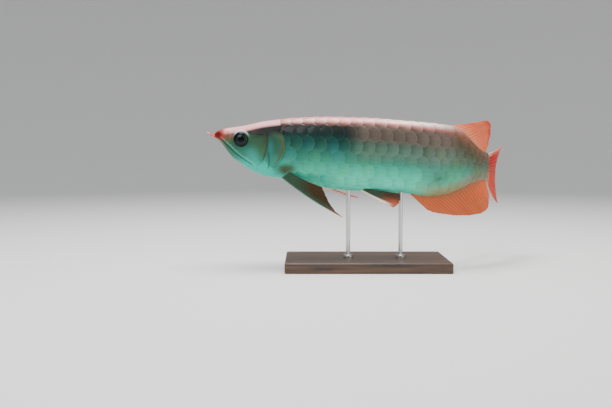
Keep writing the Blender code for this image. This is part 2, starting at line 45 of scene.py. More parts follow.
# Lengths run back from the snout in millimetres, and heights are above or below FISH_HEIGHT.
MM = 0.001
SNOUT_X = -178.2
FISH_HEIGHT = 132.8
BODY_LENGTH = 358.0
BACK = [
    (0, 24.6), (3.5, 28.0), (12, 30.7), (35, 34.2), (59, 39.4), (88, 42.5), (130, 44.3),
    (177, 43.1), (224, 39.6), (280, 34.6), (294, 29.2), (310, 17.6), (322, 9.8), (335, 4.8),
    (350, 2.4), (364, 1.6),
]
BELLY = [
    (0, 22.4), (3.5, 18.9), (10.6, 10.6), (21, -2.4), (30, -9.4), (42, -17.7), (59, -24.7),
    (78, -27.7), (112, -35.4), (147, -40.7), (189, -43.3), (226, -45.3), (254, -49.0),
    (270, -47.8), (294, -41.0), (318, -32.8), (335, -31.0), (350, -32.8), (364, -35.5),
]
HALF_WIDTH = [
    (0, 2.4), (3.5, 5.0), (12, 8.2), (24, 11.4), (35, 13.9), (53, 16.5), (71, 18.3), (118, 19.6),
    (153, 19.2), (189, 18.1), (224, 15.9), (254, 13.6), (280, 11.0), (301, 8.7), (319, 7.1),
    (336, 5.7), (348, 4.8), (364, 3.0),
]
BACK_ROUNDNESS = [(0, 2.2), (60, 2.7), (240, 2.7), (364, 2.2)]
BELLY_ROUNDNESS = [(0, 2.2), (40, 2.0), (110, 1.8), (260, 1.7), (364, 2.0)]
WIDEST_LEVEL = 0.42
MOUTH_LINE = [(-1, 22.9), (3, 21.6), (9.4, 17.5), (17.7, 9.9), (25.9, 2.3), (34.1, -4.0), (42.2, -9.2),
              (47.5, -14.0), (51.5, -19.5)]
CHEEK_FOLD = [(62.5, 26), (62.3, 12), (60.5, 3), (58, -4), (54, -10), (48, -15)]
CHEEK_SEAMS = (
    [(41, 25.0), (48, 23.6), (56, 22.6), (61.5, 22.5)],
    [(45.5, 13.6), (50, 11.4), (55, 9.5), (60.5, 8.0)],
    [(28, 7.0), (34, 2.8), (42, -3.6), (49.5, -8.6), (57, -9.0)],
    [(20, 17.5), (23, 12.5), (28, 7.0)],
    [(46, -19.4), (52, -21.6), (58, -22.8), (64, -23.2)],
    [(50, -16.4), (55, -18.4), (60, -19.4), (66, -19.6)],
)
GILL_EDGE = [(64.5, 28.4), (72.8, 28.6), (79.5, 24.9), (83.5, 16.8), (84.1, 7), (81.4, -1.6),
             (76.9, -8.7), (72, -15.0), (67, -15.2), (61.4, -10), (58.9, -3.5), (60.9, 4),
             (62.4, 12.6), (62.2, 22)]
HEAD_REAR = [(76, 60), (77.2, 27.8), (82, 20.8), (84.3, 8.2), (82, -1), (77.4, -7.9), (71.5, -14.9),
             (68.5, -21), (72.3, -29.2), (76, -60)]
EYE_AT = (32.2, 10.4, 18.0)
NOSTRILS = ((6.8, 25.4, 0.9), (16.8, 26.6, 1.1))


def follow(table, at):
    """A smooth curve through a table, with no overshoot."""
    x, y = np.array(table, float).T
    gap = np.diff(x)
    slope = np.diff(y) / gap
    lean = np.concatenate([slope[:1], np.zeros(len(x) - 2), slope[-1:]])
    for k in range(1, len(x) - 1):
        if slope[k - 1] * slope[k] > 0:
            lean[k] = (gap[k - 1] + gap[k]) / (gap[k - 1] / slope[k - 1] + gap[k] / slope[k])
    at = np.clip(np.asarray(at, float), x[0], x[-1])
    k = np.clip(np.searchsorted(x, at, side="right") - 1, 0, len(x) - 2)
    u = (at - x[k]) / gap[k]
    flat = y[k] * (1 + 2 * u) * (1 - u) ** 2 + y[k + 1] * u * u * (3 - 2 * u)
    return flat + gap[k] * u * (1 - u) * (lean[k] * (1 - u) - lean[k + 1] * u)


def ease(x, start, end):
    """0 before start, 1 after end, smooth between."""
    u = np.clip((np.asarray(x, float) - start) / (end - start), 0, 1)
    return u * u * (3 - 2 * u)


# The middle line of the body runs straight from the snout, then bends to the fish's right.
SPINE_START, SPINE_END, SPINE_STEP = -20, 440, 0.1
BEND, BEND_FROM, BEND_TO = math.radians(68), 212.5, 389.5
SPINE_S = np.linspace(SPINE_START, SPINE_END, round((SPINE_END - SPINE_START) / SPINE_STEP) + 1)
SPINE_TURN = BEND * ease(SPINE_S, BEND_FROM, BEND_TO)
SPINE_X = SNOUT_X + SPINE_START + np.concatenate([[0], np.cumsum(np.cos(SPINE_TURN[:-1]) * SPINE_STEP)])
SPINE_Y = np.concatenate([[0], np.cumsum(np.sin(SPINE_TURN[:-1]) * SPINE_STEP)])


def place(s, side, height):
    """Millimetres in the row's frame, from length, side (the fish's right is +) and height."""
    turn = np.interp(s, SPINE_S, SPINE_TURN)
    x = np.interp(s, SPINE_S, SPINE_X) - np.sin(turn) * side
    y = np.interp(s, SPINE_S, SPINE_Y) + np.cos(turn) * side
    return np.stack(np.broadcast_arrays(x, y, FISH_HEIGHT + np.asarray(height, float)), axis=-1)


# Half sections of the body, one to each millimetre of its length, from the back round to the belly.
LAST_SECTION = 364
SECTION_STEPS = 160
section_f = np.linspace(0, 1, SECTION_STEPS + 1)
angle = np.linspace(0, math.pi, 241)
upper = angle < math.pi / 2
section_side, section_height = [], []
for s in range(LAST_SECTION + 1):
    top, low, wide = follow(BACK, s), follow(BELLY, s), follow(HALF_WIDTH, s)
    wide = wide * (1 - 0.8 * ease(s, 348, 361))
    middle = top - WIDEST_LEVEL * (top - low)
    power = 2 / np.where(upper, follow(BACK_ROUNDNESS, s), follow(BELLY_ROUNDNESS, s))
    side = wide * np.abs(np.sin(angle)) ** power
    height = middle + np.where(upper, top - middle, low - middle) * np.abs(np.cos(angle)) ** power
    side[0] = side[-1] = 0
    walk = np.concatenate([[0], np.cumsum(np.hypot(np.diff(side), np.diff(height)))])
    section_side.append(np.interp(section_f, walk / walk[-1], side))
    section_height.append(np.interp(section_f, walk / walk[-1], height))
section_side, section_height = np.array(section_side), np.array(section_height)


def flank(s, f):
    """Side and height of the smooth body at length s and fraction f, 0 on the back, 1 under it."""
    s, f = np.broadcast_arrays(np.clip(s, 0, LAST_SECTION - 0.01),
                               np.clip(f, 0, 1) * (SECTION_STEPS - 0.001))
    i, j = s.astype(int), f.astype(int)
    a, b = s - i, f - j
    found = []
    for table in (section_side, section_height):
        low = table[i, j] * (1 - b) + table[i, j + 1] * b
        high = table[i + 1, j] * (1 - b) + table[i + 1, j + 1] * b
        found.append(low * (1 - a) + high * a)
    return found


GILL_SEAM = [(63.4, 5), (64.4, -1), (64.8, -8), (63.6, -15)]
PORES = [(10, 12.2), (15.5, 7.6), (21.5, 2.2), (28, -3.4), (34.5, -8.6), (40.5, -13), (21, 20), (22.5, 14),
         (27, 9), (35, 5.2), (43, 9.2), (46, 20.5), (51, 26), (54, -5), (57.4, 2), (58.8, 9), (59.4, 16)]


def bow(line, closed=False):
    """Three more points between each two of a line, so that it runs in a soft curve."""
    p = np.array(line, float)
    if closed:
        before, p, after, last = np.roll(p, 1, axis=0), p, np.roll(p, -1, axis=0), np.roll(p, -2, axis=0)
    else:
        full = np.concatenate([2 * p[:1] - p[1:2], p, 2 * p[-1:] - p[-2:-1]])
        before, p, after, last = full[:-3], full[1:-2], full[2:-1], full[3:]
    found = []
    for k in range(len(p)):
        for t in (0, 0.25, 0.5, 0.75):
            found.append(0.5 * (2 * p[k] + (after[k] - before[k]) * t
                                + (2 * before[k] - 5 * p[k] + 4 * after[k] - last[k]) * t * t
                                + (3 * p[k] - before[k] - 3 * after[k] + last[k]) * t**3))
    return found if closed else found + [after[-1]]


MOUTH_LINE, CHEEK_FOLD = bow(MOUTH_LINE), bow(CHEEK_FOLD)
CHEEK_SEAMS = [bow(line) for line in CHEEK_SEAMS]
GILL_EDGE = bow(GILL_EDGE, closed=True)


def near(s, h, line):
    """Distance from points to a line on the side of the fish, which side of it, and how far along."""
    line = np.array(line, float)
    best = np.full(np.shape(s), 1e9)
    left, share = np.zeros(np.shape(s)), np.zeros(np.shape(s))
    walk = np.concatenate([[0], np.cumsum(np.linalg.norm(np.diff(line, axis=0), axis=1))])
    for k in range(len(line) - 1):
        (ax, ay), (bx, by) = line[k], line[k + 1]
        dx, dy = bx - ax, by - ay
        u = np.clip(((s - ax) * dx + (h - ay) * dy) / (dx * dx + dy * dy), 0, 1)
        away = np.hypot(s - ax - u * dx, h - ay - u * dy)
        closer = away < best
        best = np.where(closer, away, best)
        left = np.where(closer, np.sign(dx * (h - ay) - dy * (s - ax)), left)
        share = np.where(closer, (walk[k] + u * (walk[k + 1] - walk[k])) / walk[-1], share)
    return best, left, share


def inside(s, h, outline):
    """Distance into a closed outline: positive inside it, negative outside."""
    away = near(s, h, list(outline) + [outline[0]])[0]
    within = np.zeros(np.shape(s), bool)
    for k, (bx, by) in enumerate(outline):
        ax, ay = outline[k - 1]
        cross = (ay > h) != (by > h)
        within ^= cross & (s < (bx - ax) * (h - ay) / (by - ay + 1e-12) + ax)
    return np.where(within, away, -away)


def hump(x, width):
    """1 at 0, falling off to both sides over a width."""
    return np.exp(-((x / width) ** 2))


def blot(s, h, at, reach):
    """A soft oval on the side of the fish: 1 at its middle, falling off over its reach."""
    return hump(np.hypot((s - at[0]) / reach[0], (h - at[1]) / reach[1]), 1)


def colour(red, green, blue):
    """Linear colour from the 0 to 255 values that a screen shows."""
    c = np.array((red, green, blue)) / 255
    return np.where(c <= 0.04045, c / 12.92, ((c + 0.055) / 1.055) ** 2.4)


def dab(paint, share, tint):
    """Paint mixed towards one tint by a share at each point."""
    share = np.clip(share, 0, 1)[..., None]
    return paint * (1 - share) + tint * share


def head_relief(s, f, side, h):
    """How far the skin of the head stands out or sinks in, in millimetres."""
    # The mouth's slit, the upper jaw bone over it and the lip under it.
    away, left, share = near(s, h, MOUTH_LINE)
    open_mouth = 1 - ease(share, 0.82, 0.88)
    rise = -0.95 * hump(away, 0.45) * open_mouth
    bone = 1.7 + 3.6 * share - 5.0 * ease(share, 0.84, 0.97) ** 2
    above, below = left > 0, left < 0
    plate = ease(away, 0.2 - 1.5 * ease(share, 0.82, 0.88), 0.9 - 1.2 * ease(share, 0.82, 0.88))
    plate = plate * (1 - ease(away, bone - 0.9, bone + 0.3)) * ease(share, 0.04, 0.2)
    rise += np.where(above, 0.75 * plate, 0)
    rise -= np.where(above, 0.45 * hump(away - bone - 0.5, 0.5) * ease(share, 0.1, 0.3), 0) * (share < 0.98)
    rise += np.where(below, 0.55 * hump(away - 1.4, 0.95) * open_mouth, 0)
    # The rim and the socket of the eye, and the seams between the bones of the cheek.
    ring = np.hypot(s - EYE_AT[0], h - EYE_AT[2])
    rise += 0.7 * hump(ring - 9.6, 1.1) - 0.3 * hump(ring - 12.4, 0.8)
    rise -= 3.6 * (1 - ease(ring, 7.3, 8.7))
    for line in CHEEK_SEAMS:
        away, _, share = near(s, h, line)
        rise -= 0.17 * hump(away, 0.65) * ease(share, 0.0, 0.25) * (1 - ease(share, 0.85, 1))
    # The fold behind the cheek, and the gill cover with its free rear edge.
    away, left, share = near(s, h, CHEEK_FOLD)
    open_fold = ease(share, 0.0, 0.14) * (1 - ease(share, 0.9, 1))
    rise += (np.where(left < 0, 0.5 * hump(away - 2.0, 1.3), 0) - 0.5 * hump(away, 0.6)) * open_fold
    depth = inside(s, h, GILL_EDGE)
    free = ease(s, 64, 74) * (1 - 0.75 * ease(h, 15, 26))
    rise += 0.8 * free * ease(depth, 0.0, 1.0) + 0.3 * ease(depth, 0, 9)
    rise += 0.22 * hump(depth - 3.2, 0.7) * free
    rise -= 0.9 * hump(depth + 1.1, 0.9) * free
    away, _, share = near(s, h, GILL_SEAM)
    rise -= 0.4 * hump(away, 0.5) * (1 - ease(share, 0.8, 1))
    # The nostrils, the groove between the jaws under the head, and the canals on its top.
    for x, z, radius in NOSTRILS:
        ring = np.hypot(s - x, h - z)
        rise += 0.5 * hump(ring - radius - 0.5, 0.55) - 1.4 * (1 - ease(ring, radius * 0.5, radius))
    rise -= 0.5 * hump(side, 1.0) * ease(f, 0.8, 0.95) * ease(s, 10, 18) * (1 - ease(s, 50, 66))
    canal = hump(side - 3.4 - 0.05 * s, 0.7) + 0.8 * hump(side, 0.8) * ease(s, 36, 46)
    rise -= 0.2 * canal * (1 - ease(f, 0.18, 0.24)) * ease(s, 16, 24) * (1 - ease(s, 64, 74))
    return rise * (1 - ease(s, 88, 92))


# Colours run from a pale pink painted highlight along the back, over dark slate, to bright turquoise below.
BANDS = [
    (0.00, (224, 154, 152)), (0.11, (220, 144, 142)), (0.165, (146, 92, 84)), (0.20, (36, 36, 32)),
    (0.30, (16, 38, 38)), (0.40, (22, 68, 60)), (0.48, (34, 92, 80)), (0.60, (40, 134, 110)),
    (0.74, (50, 188, 152)), (0.90, (72, 220, 186)), (1.00, (80, 210, 176)),
]


def markings(s, f, h, head=1):
    """The colour of skin and scales at each point, from its place on the fish, with painted highlights,
    painted shade and a painted reflection in it.
    """
    # The bands of the body, then what changes along it: a painted highlight on the rear of the back, a
    # painted reflection over the rear flank, the rear's own colour, the nape and the roots of the fins.
    stops = np.array([p[0] for p in BANDS])
    tints = np.array([colour(*p[1]) for p in BANDS])
    edge = f + 0.006 * np.sin(s * 0.9) + 0.004 * np.sin(s * 2.3 + 1)
    paint = np.stack([np.interp(edge, stops, tints[:, k]) for k in range(3)], axis=-1)
    back, belly = follow(BACK, s), follow(BELLY, s)
    fin_base = ease(s, 262, 300) * (1 - ease(back - h, 2, 22))
    # Painted highlight: the top of the back paler and creamier from the middle of the body to the tail.
    paint = dab(paint, ease(s, 150, 250) * (1 - ease(f, 0.08, 0.14)), colour(255, 232, 216))
    # Painted reflection: a brownish wash over the upper flank from the middle of the body back, grey-green
    # lower down, weaker towards the tail.
    rear = ease(s, 150, 182) * (1 - 0.4 * ease(s, 262, 325))
    paint = dab(paint, 0.78 * rear * ease(f, 0.14, 0.2) * (1 - ease(f, 0.32, 0.45)), colour(104, 90, 80))
    paint = dab(paint, 0.6 * rear * ease(f, 0.32, 0.45) * (1 - ease(f, 0.5, 0.66)), colour(98, 122, 104))
    paint = dab(paint, 0.5 * ease(s, 232, 320) * (1 - ease(f, 0.3, 0.6)), colour(98, 68, 56))
    paint = dab(paint, 0.45 * (1 - ease(s, 94, 124)) * hump((f - 0.58) / 0.22, 1), colour(24, 84, 68))
    paint = dab(paint, 0.75 * (1 - ease(s, 76, 104)) * ease(f, 0.6, 0.76), colour(28, 176, 152))
    nape = (1 - ease(s, 90, 122)) * (1 - ease(back - h, 12, 22))
    paint = dab(paint, 0.7 * nape * ease(back - h, 6.5, 9), colour(14, 12, 9))
    paint = dab(paint, 0.75 * fin_base, colour(204, 120, 92))
    paint = dab(paint, 0.9 * ease(s, 222, 264) * (1 - ease(h - belly, 3, 20)), colour(156, 124, 66))
    paint = dab(paint, 0.72 * ease(s, 262, 325), colour(82, 78, 52))
    paint = dab(paint, 0.6 * blot(s, h, (260, -28), (18, 13)), colour(62, 92, 74))
    paint = dab(paint, 0.3 * ease(s, 215, 260) * hump((f - 0.5) / 0.2, 1), colour(96, 92, 72))
    paint = dab(paint, 0.6 * hump(np.hypot(s - 262, h + 28), 2.6), colour(34, 52, 46))
    # The face: cheek, gill cover, dark crown, a pink painted highlight along the top, the ring of the eye
    # with a painted highlight over it and painted shade under it, red snout, and mouth with a painted
    # highlight along the upper jaw bone.
    front = head * (1 - ease(s, 80, 90))
    face = np.broadcast_to(colour(46, 78, 60), paint.shape).copy()
    face = dab(face, ease(-h, -16, -2), colour(44, 108, 86))
    face = dab(face, ease(-h, -2, 14), colour(26, 180, 158))
    face = dab(face, 0.85 * blot(s, h, (55, 6), (6.5, 12)), colour(54, 78, 44))
    face = dab(face, 0.2 * blot(s, h, (45, -1), (10, 8)), colour(66, 200, 196))
    depth = inside(s, h, GILL_EDGE)
    face = dab(face, 0.85 * ease(depth, 0, 2), colour(44, 84, 66))
    face = dab(face, 0.55 * blot(s, h, (66, 19), (9, 8)), colour(30, 40, 34))
    face = dab(face, 0.5 * ease(depth, 0, 1) * ease(-h, -6, 10), colour(46, 146, 120))
    face = dab(face, 0.7 * blot(s, h, (66.5, 6), (3, 12)), colour(36, 112, 112))
    face = dab(face, 0.8 * ease(s, 70, 76) * hump(depth - 3.4, 1.3), colour(84, 70, 38))
    face = dab(face, 0.8 * hump(near(s, h, CHEEK_FOLD)[0], 1.1) * ease(h, -12, 0), colour(56, 50, 24))
    face = dab(face, 0.9 * hump(depth + 1.0, 1.1) * ease(s, 66, 74), colour(8, 44, 36))
    face = dab(face, 0.7 * hump(near(s, h, GILL_SEAM)[0], 0.8) * (h < 3), colour(20, 60, 50))
    face = dab(face, 0.92 * (1 - ease(back - h, 8, 13)) * ease(s, 14, 26), colour(36, 24, 20))
    face = dab(face, 0.96 * (1 - ease(back - h, 12, 22)) * ease(s, 42, 54), colour(14, 12, 9))
    face = dab(face, 0.7 * blot(s, h, (46, 25.5), (7, 3.5)), colour(44, 32, 26))
    # Pink painted highlight along the top of the head.
    face = dab(face, 1 - ease(back - h, 4.5, 8.5), colour(228, 164, 166))
    ring = np.hypot(s - EYE_AT[0], h - EYE_AT[2])
    crown = ease((h - EYE_AT[2]) / (ring + 0.1), 0.2, 0.9)
    # Painted highlight on the upper side of the bony rim round the eye, and painted shade on its lower
    # side.
    face = dab(face, 0.85 * hump(ring - 9.5, 1.0) * crown, colour(176, 190, 204))
    face = dab(face, 0.5 * hump(ring - 9.6, 1.3) * (1 - crown), colour(30, 78, 66))
    face = dab(face, (1 - ease(s, 8, 16)) * ease(h, 14, 22), colour(176, 58, 52))
    face = dab(face, 0.9 * blot(s, h, (5, 24.0), (5.5, 4.4)), colour(64, 2, 5))
    face = dab(face, 0.6 * blot(s, h, (13, 22), (3, 3.4)), colour(150, 62, 40))
    face = dab(face, 0.6 * blot(s, h, (20, 22.5), (2.6, 3)), colour(176, 84, 62))
    face = dab(face, 0.55 * blot(s, h, (17.5, 18), (4.5, 4)), colour(92, 92, 58))
    away, left, share = near(s, h, MOUTH_LINE)
    chin = ease(s, 2, 5) * (1 - ease(s, 8, 16)) * (left < 0)
    face = dab(face, 0.65 * chin * ease(away, 0.2, 1.2), colour(110, 128, 104))
    face = dab(face, 0.5 * hump(away, 0.6) * (1 - ease(share, 0.82, 0.9)), colour(20, 54, 46))
    # Painted highlight: a pale line along the upper jaw bone, above the mouth.
    jaw_bone_highlight = ease(share, 0.08, 0.3) * hump(away - 2.2, 1.3) * (left > 0)
    face = dab(face, 0.22 * jaw_bone_highlight, colour(120, 190, 170))
    paint = paint * (1 - front[..., None]) + face * front[..., None]
    # The dark patch at the root of the pectoral fin, its fleshy base with painted shadow of the fin on the
    # body, and the pores of the head.
    patch = 1 - ease(np.hypot((s - 84) / 11, (h + 16.5) / 6.5), 0.4, 1.6)
    paint = dab(paint, 0.92 * patch, colour(56, 58, 28))
    for x, z in PORES:
        paint = dab(paint, 0.5 * hump(np.hypot(s - x, h - z), 0.55), colour(14, 34, 30))
    return paint


def grid_faces(number, closed=False):
    """Four-sided faces between neighbouring rows and columns of point numbers."""
    beside = np.roll(number, -1, axis=1) if closed else number[:, 1:]
    number = number if closed else number[:, :-1]
    return np.stack([number[:-1], number[1:], beside[1:], beside[:-1]], axis=-1).reshape(-1, 4)


def paint_points(mesh, tint):
    """Store a linear colour for each point, which the finish reads."""
    layer = mesh.attributes.new("tint", "FLOAT_COLOR", "POINT")
    rgba = np.concatenate([tint, np.ones((len(tint), 1))], axis=1)
    layer.data.foreach_set("color", rgba.astype(np.float32).ravel())


def mesh_piece(name, points, faces, material, tint, uv):
    """A mesh object from points in millimetres, with a colour and an OFBake place for each point."""
    mesh = bpy.data.meshes.new(name)
    mesh.from_pydata(np.asarray(points, float) * MM, [], [tuple(f) for f in faces])
    piece = bpy.data.objects.new(name, mesh)
    bpy.context.scene.collection.objects.link(piece)
    paint_points(mesh, tint)
    corner = np.zeros(len(mesh.loops), np.int32)
    mesh.loops.foreach_get("vertex_index", corner)
    layer = mesh.uv_layers.new(name="OFBake")
    layer.data.foreach_set("uv", np.asarray(uv, np.float32)[corner].ravel())
    mesh.materials.append(material)
    for polygon in mesh.polygons:
        polygon.use_smooth = True
    return piece


def shader_node(nodes, kind, values):
    """A new shader node of one kind with its input values set."""
    node = nodes.new("ShaderNode" + kind)
    for socket, value in values.items():
        node.inputs[socket].default_value = value
    return node


def living_finish(name, rough=0.42, metal=0.0, coat=0.0, grain=900.0, dent=0.12, vary=0.12,
                  net=0.0, joints=0.0, specular=0.12):
    """Wet-looking living tissue: painted tint, fine mottling, and a grain in gloss and relief."""
    material = bpy.data.materials.new(name)
    material.use_nodes = True
    nodes, links = material.node_tree.nodes, material.node_tree.links
    shader = nodes["Principled BSDF"]
    shader.inputs["Metallic"].default_value = metal
    shader.inputs["Specular IOR Level"].default_value = specular
    shader.inputs["Coat Weight"].default_value = coat
    shader.inputs["Coat Roughness"].default_value = 0.12
    where = shader_node(nodes, "TexCoord", {})
    tint = shader_node(nodes, "Attribute", {})
    tint.attribute_name = "tint"
    fine = shader_node(nodes, "TexNoise", {"Scale": grain, "Detail": 3})
    broad = shader_node(nodes, "TexNoise", {"Scale": 95, "Detail": 4})
    for noise in (fine, broad):
        links.new(where.outputs["Object"], noise.inputs["Vector"])
    both = shader_node(nodes, "Math", {})
    both.operation = "ADD"
    links.new(fine.outputs["Fac"], both.inputs[0])
    links.new(broad.outputs["Fac"], both.inputs[1])
    shade = shader_node(nodes, "MapRange", {"From Min": 0.6, "From Max": 1.4, "To Min": 1 - vary,
                                            "To Max": 1 + vary})
    links.new(both.outputs[0], shade.inputs["Value"])
    mix = shader_node(nodes, "VectorMath", {})
    mix.operation = "SCALE"
    links.new(tint.outputs["Color"], mix.inputs[0])
    links.new(shade.outputs["Result"], mix.inputs["Scale"])
    links.new(mix.outputs["Vector"], shader.inputs["Base Color"])
    gloss = shader_node(nodes, "MapRange", {"To Min": rough - 0.1, "To Max": rough + 0.12})
    links.new(broad.outputs["Fac"], gloss.inputs["Value"])
    links.new(gloss.outputs["Result"], shader.inputs["Roughness"])
    last = shader_node(nodes, "Bump", {"Strength": dent, "Distance": 0.0004})
    links.new(fine.outputs["Fac"], last.inputs["Height"])
    if net:
        cells = shader_node(nodes, "TexVoronoi", {"Scale": 950})
        cells.feature = "DISTANCE_TO_EDGE"
        links.new(where.outputs["Object"], cells.inputs["Vector"])
        weave = shader_node(nodes, "Bump", {"Strength": net, "Distance": 0.0003})
        links.new(cells.outputs["Distance"], weave.inputs["Height"])
        links.new(last.outputs["Normal"], weave.inputs["Normal"])
        last = weave
    if joints:
        bands = shader_node(nodes, "TexWave", {"Scale": 11, "Distortion": 1.2})
        bands.bands_direction = "Y"
        links.new(where.outputs["UV"], bands.inputs["Vector"])
        steps = shader_node(nodes, "Bump", {"Strength": joints, "Distance": 0.0002})
        links.new(bands.outputs["Fac"], steps.inputs["Height"])
        links.new(last.outputs["Normal"], steps.inputs["Normal"])
        last = steps
    links.new(last.outputs["Normal"], shader.inputs["Normal"])
    return material


def round_grid(lengths, around, lift):
    """Rings of skin points round the body, moved along its own surface normal by lift."""
    f = np.linspace(0, 2, around, endpoint=False)
    s, f = np.meshgrid(lengths, f, indexing="ij")
    fold = np.where(f <= 1, f, 2 - f)
    side, height = flank(s, fold)
    points = place(s, np.where(f <= 1, side, -side), height)
    ahead = np.gradient(points, axis=0)
    around_step = np.roll(points, -1, axis=1) - np.roll(points, 1, axis=1)
    normal = np.cross(ahead, around_step)
    normal /= np.linalg.norm(normal, axis=2)[:, :, None] + 1e-12
    push = lift(s, fold, side, height)
    return s, fold, side, height, points + normal * push[:, :, None]


# The rings lie close together on the head, and far apart under the scales.
skin_lengths = np.concatenate([np.arange(0.3, 52, 0.3), np.arange(52, 92, 0.5),
                               np.arange(92, 350, 6.0), np.arange(350, 361.4, 0.8)])
AROUND = 320


def skin_lift(s, f, side, h):
    """The head's relief, and a little under the body's surface where scales cover the skin."""
    behind, left, _ = near(s, h, HEAD_REAR)
    under_scales = np.where(left > 0, ease(behind, 0.2, 1.5), 0)
    return head_relief(s, f, side, h) * (1 - under_scales) - 0.5 * under_scales


s, f, side, height, points = round_grid(skin_lengths, AROUND, skin_lift)
rings = len(skin_lengths)
index = np.arange(rings * AROUND).reshape(rings, AROUND)
faces = grid_faces(index, closed=True).tolist()
tint = markings(s, f, height).reshape(-1, 3)
turn_at = np.linspace(0, 1, AROUND, endpoint=False)
uv = np.stack([np.broadcast_to(s / 380 * 0.98 + 0.01, s.shape),
               np.broadcast_to(turn_at[None] * 0.6 + 0.02, s.shape)], axis=-1).reshape(-1, 2)
points = points.reshape(-1, 3)
for end, sign in ((0, 1), (rings - 1, -1)):
    hub = len(points)
    ring = index[end]
    points = np.concatenate([points, points[ring].mean(axis=0)[None]])
    tint = np.concatenate([tint, tint[ring].mean(axis=0)[None]])
    uv = np.concatenate([uv, uv[ring].mean(axis=0)[None]])
    for k in range(AROUND):
        a, b = ring[k], ring[(k + 1) % AROUND]
        faces.append((hub, a, b) if sign > 0 else (hub, b, a))
skin_finish = living_finish("wet_skin", coat=0.06, specular=0.08)
skin = mesh_piece("skin", points, faces, skin_finish, tint, uv)
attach(skin, "root")
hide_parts("head", "lower_jaw", "gill_cover_left", "gill_cover_right", "trunk", "tail")

# Scales: large, thin, overlapping horny plates, each rooted in a pocket of the skin.
# They run in fourteen rows round the body, every second row half a scale further back.
# Each is a thin closed plate that stands up a little at its free rear edge.
SCALE_ROWS = 14
SCALE_COLUMNS = 24
COLUMN_AT = [(-1, 41.1), (0, 55), (6, 138.4), (12, 221.8), (16, 274), (20, 318.5), (24, 353), (26, 364)]
SCALE_RISE = 0.74
SCALE_THICK = 0.22
SCALE_ROOT = 0.32
LINE_ROWS = (4, 10)
FIN_ROWS = {0: 14.2, 7: 10.6}
ACROSS, DOWN = 13, 5

# One plate, from its root (a = 0) to its free edge (a = 1) and from side to side (b from -1 to 1).
a, b = np.meshgrid([0, 0.34, 0.66, 0.91, 1], np.sin(np.linspace(-1.25, 1.25, ACROSS)) / math.sin(1.25),
                   indexing="ij")
reach = 1 - 0.52 * b**2 - 0.36 * b**8
plate_u = -SCALE_ROOT + (reach + SCALE_ROOT) * a
plate_v = 0.84 * b * (0.72 + 0.28 * ease(a, 0, 0.5)) * (1 - 0.08 * ease(a, 0.8, 1))
dome = 0.10 * (1 - b**2) * np.sin(np.pi * a)
tuck = 0.12 * ease(a, 0.9, 1)
plate_lift = SCALE_RISE * (plate_u + SCALE_ROOT) / (1 + SCALE_ROOT) + dome - tuck - 0.35 * (a == 0)
number = np.arange(DOWN * ACROSS).reshape(DOWN, ACROSS)
rim = np.concatenate([number[0, :-1], number[:-1, -1], number[-1, :0:-1], number[:0:-1, 0]])
plate_faces = [tuple(q) for q in grid_faces(number)]
under = DOWN * ACROSS + np.arange(len(rim))
for k, corner in enumerate(rim):
    n = (k + 1) % len(rim)
    plate_faces.append((corner, rim[n], under[n], under[k]))
plate_faces.append(tuple(under[::-1]))

